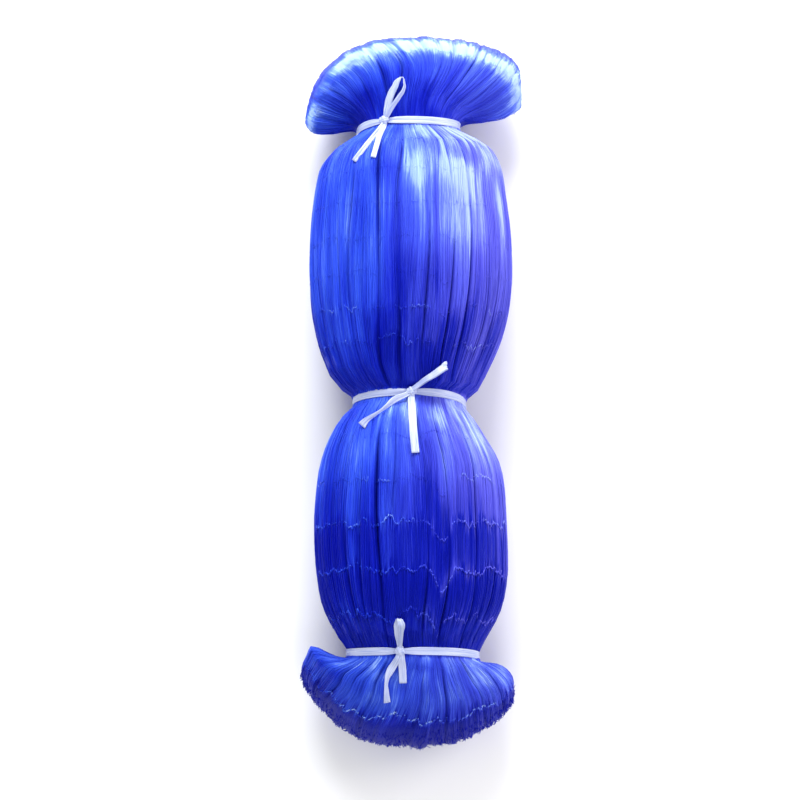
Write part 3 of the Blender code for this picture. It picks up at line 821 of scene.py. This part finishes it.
def strandLines(side, count, firstLock, lastLock, seed):  # a side's strands as paths, and their knots
    chance = np.random.default_rng(seed)
    scatter = chance.uniform(-strands["scatter"], strands["scatter"], count)
    base = firstLock + (np.arange(count) + scatter) * (lastLock - firstLock) / count
    middles, heights = strandKnots(base, chance)
    lifts = chance.uniform(*strands["lift"], count)
    radii = chance.uniform(*strands["radius"], count)
    tints = chance.uniform(0, 1, count)
    ends = chance.uniform(*strands["raggedReach"], count)
    clumps, clumpCells = strands["raggedClumps"]
    ends = ends + clumps * grainRound(base, clumpCells, seed + 3)
    knotPlaces = [placeOfY(row) for row in heights]
    lock, place = strandRings(base, middles, knotPlaces, strands[f"{side}Places"])
    cellsRound, cellsAlong, cellsAlone = strands["wanderCells"]
    near = grainOver(lock, place, cellsRound, cellsAlong, seed + 1)
    own = np.broadcast_to(np.arange(count) / count, place.shape)
    alone = blurred(own, place / lastPlace, count, cellsAlone, seed + 2)
    wander = strands["wanderShare"] * near + strands["wanderShare"] * alone
    lock = lock + strands["wander"] * wander * (1 - evenness(np.abs(place)))
    flatLock, flatPlace = lock.ravel(), place.ravel()
    around, along = folded(flatLock, flatPlace)
    share = creaseShare(along)
    rate, least = strands["liftShare"]
    lift = np.broadcast_to(lifts, lock.shape).ravel() * np.clip(share * rate, least, 1)
    lift = lift + streakHeight(around, along) * share * strands["streakShare"]
    lift = lift - strands["tuck"] * tucked(along)
    points = onHank(flatLock, flatPlace, lift).reshape(*lock.shape, 3)
    middle = np.full(count, strands["raggedMiddle"])
    inside = (onHank(base, middle, lifts) + onHank(hank["locks"] - base, middle, lifts)) / 2
    outward = unitRows(points[-1] - inside)
    paths = []
    for j in range(count):
        line, locks, places = points[:, j], lock[:, j], place[:, j]
        if ends[j] > strands["raggedLeast"]:
            line = np.vstack([line, line[-1] + outward[j] * ends[j]])
            locks, places = np.append(locks, locks[-1]), np.append(places, places[-1])
        elif ends[j] < -strands["raggedLeast"]:
            line, locks, places = line[:-1], locks[:-1], places[:-1]
        line[:, 2] = np.maximum(line[:, 2], strands["rest"])
        paths.append((line, np.full(len(line), radii[j]), locks, places, tints[j]))
    return paths, middles, heights


def addStrands(finish):  # both sides' strands; the knots' locks and heights on each side are given back
    sides = []
    half = hank["locks"] // 2
    for side, perTress, first, pieces, seed in (
        ("face", strands["faceATress"], 0, strands["facePieces"], strands["seed"]),
        ("underside", strands["undersideATress"], half, strands["undersidePieces"], strands["seed"] + 50),
    ):
        paths, middles, heights = strandLines(side, perTress * half, first, first + half, seed)
        share = math.ceil(len(paths) / pieces)
        for k in range(pieces):
            name = f"{side}Strands{k + 1}"
            mesh = threadMesh(name, paths[k * share : (k + 1) * share])
            addPiece(name, mesh, finish)
            print(name, "made:", len(mesh.polygons), "faces")
        sides.append((middles, heights))
    return sides


# The knots, in rows across the strands, and the crinkly line that each row makes
knots = {
    "length": (1.3, 2.0),
    "radius": (0.42, 0.62),
    "lift": 0.25,
    "lineLift": 0.45,
    "lineLiftSpread": 0.25,
    "lineLocks": (0.8, 19.2),
    "linePoints": 24,  # to a tress
    "lineLeast": 3,  # points
    "lineZigzag": 1.8,
    "lineThick": (0.7, 1.4),
    "veil": (60, 500),  # where a row's line shows: cells round the hank, and seed
    "raggedLocks": (3.6, 16.2),  # the locks between which the last row's knots and line show
    "size": (0.62, 0.9),  # of the knots in a row without a line, and more for each millimetre of its line
    "turn": 1.2,  # how far a knot is turned out of its row, in radians
    "taper": (0.45, 1.0, 0.45),
    "plainShare": 0.5,  # knots are as deep as the strands where less of their row shows than this
    "knotPaler": 0.18,
    "linePaler": 0.32,
    "creaseShadeShare": 0.3,
    "rest": 0.75,
    "seed": 71,
}


def besideFace(row, lock):  # where the last row no longer shows
    first, last = knots["raggedLocks"]
    return (row == len(knotRows) - 1) & ((lock <= first) | (lock >= last))


def knotPaths(middles, heights, seed):  # the knots of the rows that hardly show, and of those that do
    chance = np.random.default_rng(seed)
    plain, marked = [], []
    for row, (_, wander, thick, shown) in enumerate(knotRows):
        if not wander:
            continue
        paths = marked if shown > knots["plainShare"] else plain
        lock, place = middles[row][row % 2 :: 2], placeOfY(heights[row][row % 2 :: 2])
        count = len(lock)
        centre = onHank(lock, place, np.full(count, knots["lift"]))
        centre[:, 2] = np.maximum(centre[:, 2], knots["rest"])
        turn = chance.uniform(-knots["turn"], knots["turn"], count)[:, None]
        across, along = unitRows(stepRound(lock, place)), unitRows(stepAlong(lock, place))
        way = across * np.cos(turn) + along * np.sin(turn)
        size = knots["size"][0] + knots["size"][1] * thick
        length = chance.uniform(*knots["length"], count) * size
        radius = chance.uniform(*knots["radius"], count) * size
        aside = besideFace(row, lock)
        for i in range(count):
            reach = way[i] * length[i] / 2
            line = np.array([centre[i] - reach, centre[i], centre[i] + reach])
            line[:, 2] = np.maximum(line[:, 2], knots["rest"])
            radii = radius[i] * np.array(knots["taper"])
            knot = (line, radii, np.full(3, lock[i]), np.full(3, place[i]), chance.uniform())
            (plain if aside[i] else paths).append(knot)
    return plain, marked


def rowLines(seed):
    chance = np.random.default_rng(seed)
    paths = []
    for row, (_, _, thick, shown) in enumerate(knotRows):
        if not thick:
            continue
        lock = np.arange(*knots["lineLocks"], 1 / knots["linePoints"])
        jitter = chance.uniform(-1, 1, len(lock))
        place = placeOfY(knotY(row, lock, jitter * knots["lineZigzag"]))
        spread = knots["lineLiftSpread"]
        line = onHank(lock, place, knots["lineLift"] + chance.uniform(-spread, spread, len(lock)))
        radius = thick * chance.uniform(*knots["lineThick"], len(lock))
        cells, veilSeed = knots["veil"]
        veil = grainRound(lock, cells, veilSeed + row)
        seen = (veil > np.quantile(veil, 1 - shown)) & ~besideFace(row, lock)
        starts = np.flatnonzero(np.diff(np.concatenate([[False], seen, [False]]).astype(int)))
        for first, last in zip(starts[::2], starts[1::2]):
            if last - first > knots["lineLeast"]:
                part = slice(first, last)
                paths.append((line[part], radius[part], lock[part], place[part], 0.5))
    return paths


def addKnots(sides, strandFinish):
    plain, marked = [], []
    for k, (middles, heights) in enumerate(sides):
        some = knotPaths(middles, heights, knots["seed"] + k)
        plain += some[0]
        marked += some[1]
    share = knots["creaseShadeShare"]
    for name, paths, finish in (
        ("plainKnots", plain, strandFinish),
        ("rowKnots", marked, nylonFinish("nylonKnot", knots["knotPaler"], share)),
        ("knotRowLines", rowLines(knots["seed"]), nylonFinish("nylonLine", knots["linePaler"], share)),
    ):
        mesh = threadMesh(name, paths)
        addPiece(name, mesh, finish)
        print(name, "made:", len(paths), "threads,", len(mesh.polygons), "faces")


# The cut meshes at the ragged end: short curled ends of line, all round its ridge
fray = {
    "count": 1500,
    "places": (29.1, 30.7),
    "length": (1.6, 4.2),
    "radius": (0.22, 0.36),
    "points": 5,
    "sink": -0.3,
    "edge": 0.2,  # locks left bare beside the two edges
    "onward": 0.7,
    "out": 0.6,
    "sideways": 0.9,
    "curl": 0.8,
    "curlOnward": (-0.2, 1),
    # drawn darker: painted shade on the ragged rim, where the cut ends turn down
    "paler": -0.15,
    "specular": 0.20,
    "seed": 91,
}


def frayPaths():
    chance = np.random.default_rng(fray["seed"])
    count = fray["count"]
    lock = chance.uniform(fray["edge"], hank["locks"] / 2 - fray["edge"], count)
    place = chance.uniform(*fray["places"], count)
    out = skinNormal(lock, place)
    along = unitRows(stepAlong(lock, place))
    side = np.cross(out, along)
    start = onHank(lock, place, np.full(count, fray["sink"]))
    sideways = side * chance.uniform(-1, 1, count)[:, None] * fray["sideways"]
    heading = unitRows(along * fray["onward"] + out * fray["out"] + sideways)
    bend = side * chance.uniform(-1, 1, count)[:, None]
    bend = bend + along * chance.uniform(*fray["curlOnward"], count)[:, None]
    length = chance.uniform(*fray["length"], count)
    radius = chance.uniform(*fray["radius"], count)
    tint = chance.uniform(0, 1, count)
    t = np.linspace(0, 1, fray["points"])[:, None]
    paths = []
    for i in range(count):
        line = start[i] + (heading[i] * t + bend[i] * fray["curl"] * t**2) * length[i]
        line[:, 2] = np.maximum(line[:, 2], strands["rest"])
        same = np.ones(fray["points"])
        paths.append((line, radius[i] * same, lock[i] * same, min(place[i], lastPlace) * same, tint[i]))
    return paths


# The ties, from the knot: across, along, height over the netting, roll about its own line in degrees, width
tieTurns = {
    "first": {
        "seat": 5,
        "knotX": -27.5,
        "bow": (
            (0, 0, 1.8, 0, 3.6),
            (1, 6, 2.2, 8, 5.0),
            (2.5, 13, 1.4, 12, 6.5),
            (4.6, 21, 1.4, 16, 6.8),
            (9, 30, 1.4, 30, 6.6),
            (12.5, 36, 1.8, 50, 5.8),
            (15.5, 38, 2.4, 80, 5.0),
            (17.5, 33, 2.4, 75, 4.4),
            (17, 27, 2.4, 65, 4.4),
            (13.5, 21, 2.4, 55, 4.6),
            (8, 13, 3.2, 45, 4.5),
            (1, 1, 3.6, 10, 3.2),
        ),
        "longTail": (
            (1, 1, 2.8, 0, 3.4),
            (-2, -5, 2.8, 0, 4.6),
            (-7, -13, 0.8, 0, 5.0),
            (-16, -26, 0.4, 0, 4.6),
            (-28, -43, 0.8, 0, 4.6),
        ),
        "shortTail": (
            (0, 1, 2.4, 0, 4.0),
            (-1, -5, 2.2, 0, 5.0),
            (-3.5, -12, 1.0, 0, 5.2),
            (-7, -26, 0.6, 0, 4.8),
            (-10.6, -41, 1.0, 0, 4.8),
        ),
    },
    "second": {
        "seat": 15,
        "knotX": -3.7,
        "bow": (
            (-1, 0, 1.8, 0, 4.0),
            (4, 3.5, 2.2, 20, 5.0),
            (9, 7, 1.6, 30, 6.0),
            (20, 13.5, 1.2, 35, 7.5),
            (29, 19.5, 1.4, 35, 8.0),
            (31, 20.6, 2.6, 35, 8.0),
            (31.6, 21, 4.0, 35, 8.0),
            (31, 20.6, 5.4, 35, 8.0),
            (28, 18.5, 6.6, 35, 8.0),
            (19, 12.5, 6.0, 35, 7.5),
            (8, 6, 5.0, 30, 5.5),
            (0, 0, 3.4, 5, 3.2),
        ),
        "longTail": (
            (2, 1, 3.0, 0, 4.0),
            (-5, -3.5, 3.0, 10, 4.5),
            (-15.4, -8.5, 2.2, 20, 5.6),
            (-22.4, -14.8, 1.2, 45, 4.0),
            (-32.7, -22.4, 1.2, 45, 3.6),
            (-39, -26.5, 1.2, 30, 5.0),
            (-44.2, -32.2, 1.4, 10, 8.0),
        ),
        "shortTail": (
            (0, 2, 2.4, 0, 4.5),
            (0, -6, 2.2, 0, 6.0),
            (0.5, -16, 0.6, 0, 7.0),
            (1.2, -31, 0.5, 0, 7.0),
            (2.3, -46, 0.5, 0, 7.0),
            (3.5, -58.5, 0.8, 0, 7.0),
        ),
    },
    "third": {
        "seat": 24,
        "knotX": -13.5,
        "bow": (
            (-1, -1, 1.8, 0, 3.6),
            (-1, 4, 2.2, 10, 3.8),
            (-1.6, 9, 1.6, 20, 4.6),
            (-2.6, 17, 1.2, 25, 5.8),
            (-2.2, 24, 1.2, 12, 5.4),
            (-2.2, 26, 2.4, 4, 3.6),
            (-2, 26.6, 4.0, 0, 2.2),
            (-1.2, 26, 5.6, 4, 3.8),
            (0, 23.5, 6.8, 10, 6.0),
            (0.6, 16, 6.0, 40, 4.8),
            (0.4, 9, 4.8, 30, 3.6),
            (0, 1, 3.4, 0, 3.2),
        ),
        "longTail": (
            (0, 1, 3.0, 0, 4.0),
            (-2, -5.5, 2.6, 0, 5.0),
            (-5, -11, 1.2, 0, 6.0),
            (-10, -19.5, 0.8, 15, 6.0),
            (-12, -26, 0.6, 35, 3.8),
            (-12.2, -34, 0.6, 30, 4.6),
            (-11.6, -44.4, 0.8, 10, 6.1),
        ),
        "shortTail": (
            (1, 1, 2.4, 0, 4.5),
            (0.8, -6, 2.2, 0, 6.0),
            (1.4, -12, 1.0, 0, 6.6),
            (2, -20, 0.6, 0, 6.6),
            (2.3, -27.8, 0.8, 0, 6.6),
        ),
    },
}
waist = {
    "points": 120,
    "width": 7.0,
    "pinch": (0.35, 10.0),  # how much narrower the tape is drawn at its knot, and how far along it that fades
    "lift": 1.15,
    "seatMiddle": 0.5,  # a tie lies midway between its seat's two sections
    "samples": 720,
    "knotRadii": (4.4, 4.2, 2.8),
    "knotLift": 4.0,
    "cover": (3, 120),  # points to a tress and rings of the form that the tape lies on
    "coverEdge": 0.05,
}


def envelopeTree():  # the netting's outer form, for the tape to lie on
    bm, lock, place = skinGrid(*waist["cover"])
    inner = np.clip(place, waist["coverEdge"], lastPlace - waist["coverEdge"])
    for v, co in zip(bm.verts, skin(lock, place) + skinNormal(lock, inner) * hank["crest"]):
        v.co = co
    tree = BVHTree.FromBMesh(bm)
    bm.free()
    return tree


def smoothTurns(turns):
    points = np.array(turns, float)
    gone = lengthAlong(points[:, :3])
    slopes = np.gradient(points, gone, axis=0)
    steps = np.linspace(0, gone[-1], round(gone[-1] / tape["step"]) + 1)
    i = np.clip(np.searchsorted(gone, steps) - 1, 0, len(points) - 2)
    span = (gone[i + 1] - gone[i])[:, None]
    t = (steps - gone[i])[:, None] / span
    start = points[i] + t * span * slopes[i]
    end = points[i + 1] - (1 - t) * span * slopes[i + 1]
    return start + (end - start) * eased(t)


def looseStretch(turns, knot, tree):  # section by section: middle, ways of its width and thickness, and width
    line = smoothTurns(turns)
    line[:, :2] += knot.x, knot.y
    centres, normals = [], []
    for x, y, lift, _, _ in line:
        hit, normal, _, _ = tree.ray_cast(Vector((x, y, tape["above"])), Vector((0, 0, -1)))
        centres.append(Vector((x, y, hit.z + tape["clearance"] + tape["solidHalf"] + lift)))
        normals.append(normal if normal.z > 0 else -normal)
    made, before, near = [], None, tape["near"]
    for i, (_, _, _, roll, width) in enumerate(line):
        along = (centres[min(i + 1, len(line) - 1)] - centres[max(i - 1, 0)]).normalized()
        normal = sum(normals[max(i - near, 0) : i + near + 1], Vector()).normalized()
        flat = along.cross(normal)
        steady = flat.length ** tape["steadyPower"]
        flat.normalize()
        if before and flat.dot(before) < 0:
            flat.negate()
        rise = (normal - along * along.dot(normal)).normalized()
        turn = math.radians(roll)
        wide = flat * math.cos(turn) + rise * math.sin(turn)
        if before:
            kept = (before - along * before.dot(along)).normalized()
            wide = (kept * (1 - steady) + wide * steady).normalized()
        made.append((centres[i] + normal * abs(math.sin(turn)) * width / 2, wide, wide.cross(along), width))
        before = wide
    return made


def waistStretch(tie):  # once round the waist from the knot, and where the knot sits
    count, seat = waist["points"], tie["seat"] + waist["seatMiddle"]
    lock = np.linspace(0, hank["locks"], waist["samples"] + 1)[:-1]
    face = lock < hank["locks"] / 2
    start = np.interp(-tie["knotX"], -skin(lock[face], np.full(face.sum(), seat))[:, 0], lock[face])
    lock = (start + np.arange(count + 1) * hank["locks"] / count) % hank["locks"]
    seats = np.full(count + 1, seat)
    middle, outward = skin(lock, seats), skinNormal(lock, seats)
    outward[:, 1] = 0
    outward = unitRows(outward)
    centres = middle + outward * waist["lift"]
    gone = lengthAlong(centres)
    pinch, reach = waist["pinch"]
    widths = waist["width"] * (1 - pinch * np.exp(-((np.minimum(gone, gone[-1] - gone) / reach) ** 2)))
    made = [(Vector(c), Vector((0, 1, 0)), Vector(o), w) for c, o, w in zip(centres, outward, widths)]
    return made, Vector(middle[0]), Vector(outward[0])


def stripMesh(name, stations, seed):  # a flat strip with lengthwise folds, carried along its stations
    chance = random.Random(seed)
    count, across = len(stations), tape["segments"]
    starts = [chance.uniform(0, 6.28) for _ in tape["folds"]]
    bm = bmesh.new()
    bmesh.ops.create_cube(bm, size=1.0)
    for axis, cuts in ((0, across - 1), (1, count - 2)):
        edges = [edge for edge in bm.edges if abs(edge.verts[0].co[axis] - edge.verts[1].co[axis]) > 0.5]
        bmesh.ops.subdivide_edges(bm, edges=edges, cuts=cuts, use_grid_fill=True)
    flow = bm.verts.layers.float_vector.new("flow")
    for v in bm.verts:
        i, a, side = round((v.co.y + 0.5) * (count - 1)), v.co.x, v.co.z
        centre, wide, thick, width = stations[i]
        gone = i * tape["step"]
        fold = 0
        for start, (wave, drift, share) in zip(starts, tape["folds"]):
            fold += share * math.sin(wave * a + start + drift * gone)
        rise = fold * tape["fold"] * 0.5 + side * tape["thickness"]
        v[flow] = (a * width / waist["width"] + seed, gone, seed)
        v.co = (centre + wide * a * width + thick * rise + Vector(hank["place"])) * mm
    bmesh.ops.recalc_face_normals(bm, faces=bm.faces)
    return meshFrom(bm, name)


def knotMesh(name, point, up, seed):
    turn = Vector((0, 0, 1)).rotation_difference(up)
    bm = bmesh.new()
    bmesh.ops.create_icosphere(bm, subdivisions=4, radius=1.0)
    flow = bm.verts.layers.float_vector.new("flow")
    for v in bm.verts:
        x, y, z = v.co
        crease = 1 + 0.07 * math.sin(7 * x + 2 * y + seed) + 0.05 * math.sin(11 * y - 3 * x)
        lump = Vector([part * radius for part, radius in zip((x, y, z), waist["knotRadii"])]) * crease
        v[flow] = (x * 0.9 + y * 0.3 + seed, y * 20, seed)
        v.co = (point + up * waist["knotLift"] + turn @ lump + Vector(hank["place"])) * mm
    return meshFrom(bm, name)


def addTies(finish):
    tree = envelopeTree()
    for seed, (name, tie) in enumerate(tieTurns.items(), 1):
        band, knot, up = waistStretch(tie)
        before = looseStretch(tie["shortTail"], knot, tree)[::-1]
        bow = looseStretch(tie["bow"], knot, tree)[1:-1]
        after = looseStretch(tie["longTail"], knot, tree)
        upright = []
        for centre, wide, thick, width in before + band[1:-1] + bow + after:
            if upright and wide.dot(upright[-1][1]) < 0:
                wide, thick = -wide, -thick
            upright.append((centre, wide, thick, width))
        piece = addPiece(f"{name}Tie", stripMesh(f"{name}Tie", upright, seed), finish)
        lump = addPiece(f"{name}Knot", knotMesh(f"{name}Knot", knot, up, seed), finish)
        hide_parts(f"{name}_tie")


addView()
addTies(tapeFinish())
addCore(nylonFinish("nylonCore", core["paler"], core["creaseShadeShare"]))
strandFinish = nylonFinish("nylonStrand")
knottedSides = addStrands(strandFinish)
frayFinish = nylonFinish("nylonFray", fray["paler"], specular=fray["specular"])
addPiece("raggedEnd", threadMesh("raggedEnd", frayPaths()), frayFinish)
addKnots(knottedSides, strandFinish)
